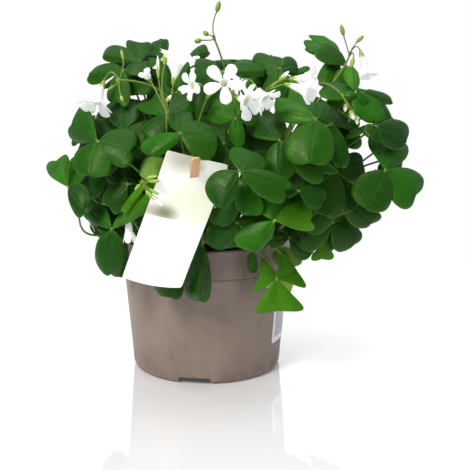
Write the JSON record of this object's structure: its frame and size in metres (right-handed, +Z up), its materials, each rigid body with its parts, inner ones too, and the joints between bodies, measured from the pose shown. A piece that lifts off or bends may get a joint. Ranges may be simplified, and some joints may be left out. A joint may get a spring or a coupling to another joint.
{
  "type": "potted shamrock plant",
  "caption": "Bushy shamrock plant with three-part green leaves and white funnel flowers, in a tapered nursery pot with peat and a blank care tag on a stick.",
  "frame": {"origin": "centre of the pot's underside, on the pot's axis, level with the surface it stands on", "axes": "+Z up along the pot's axis; -Y towards the plant's front, where the care tag hangs; +X to the right as seen from the front"},
  "size_m": [0.2479, 0.2274, 0.2514],
  "materials": {
    "pot_plastic": "satin",
    "peat": "matte",
    "card": "satin",
    "stick_wood": "matte",
    "label_paper": "satin",
    "leaf": "satin",
    "flower_stem": "satin"
  },
  "bodies": {
    "root": {"pot": "pot_plastic", "soil": "peat", "care_tag": "card", "tag_stick": "stick_wood", "sticker": "label_paper", "shoot_01": "leaf", "shoot_02": "leaf", "shoot_03": "leaf", "shoot_04": "leaf", "shoot_05": "leaf", "shoot_06": "leaf", "shoot_07": "leaf", "shoot_08": "leaf", "shoot_09": "leaf", "shoot_10": "leaf", "shoot_11": "leaf", "shoot_12": "leaf", "shoot_13": "leaf", "shoot_14": "leaf", "shoot_15": "leaf", "shoot_16": "leaf", "shoot_17": "leaf", "shoot_18": "leaf", "shoot_19": "leaf", "shoot_20": "leaf", "shoot_21": "leaf", "shoot_22": "leaf", "shoot_23": "leaf", "shoot_24": "leaf", "shoot_25": "leaf", "shoot_26": "leaf", "shoot_27": "leaf", "shoot_28": "leaf", "shoot_29": "leaf", "shoot_30": "leaf", "shoot_31": "leaf", "shoot_32": "leaf", "shoot_33": "leaf", "shoot_34": "leaf", "shoot_35": "leaf", "shoot_36": "leaf", "shoot_37": "leaf", "shoot_38": "leaf", "shoot_39": "leaf", "shoot_40": "leaf", "shoot_41": "leaf", "shoot_42": "leaf", "shoot_43": "leaf", "inflorescence_01": "flower_stem", "inflorescence_02": "flower_stem", "inflorescence_03": "flower_stem", "inflorescence_04": "flower_stem", "inflorescence_05": "flower_stem", "inflorescence_06": "flower_stem", "inflorescence_07": "flower_stem", "inflorescence_08": "flower_stem", "inflorescence_09": "flower_stem", "inflorescence_10": "flower_stem", "inflorescence_11": "flower_stem"}
  },
  "joints": []
}
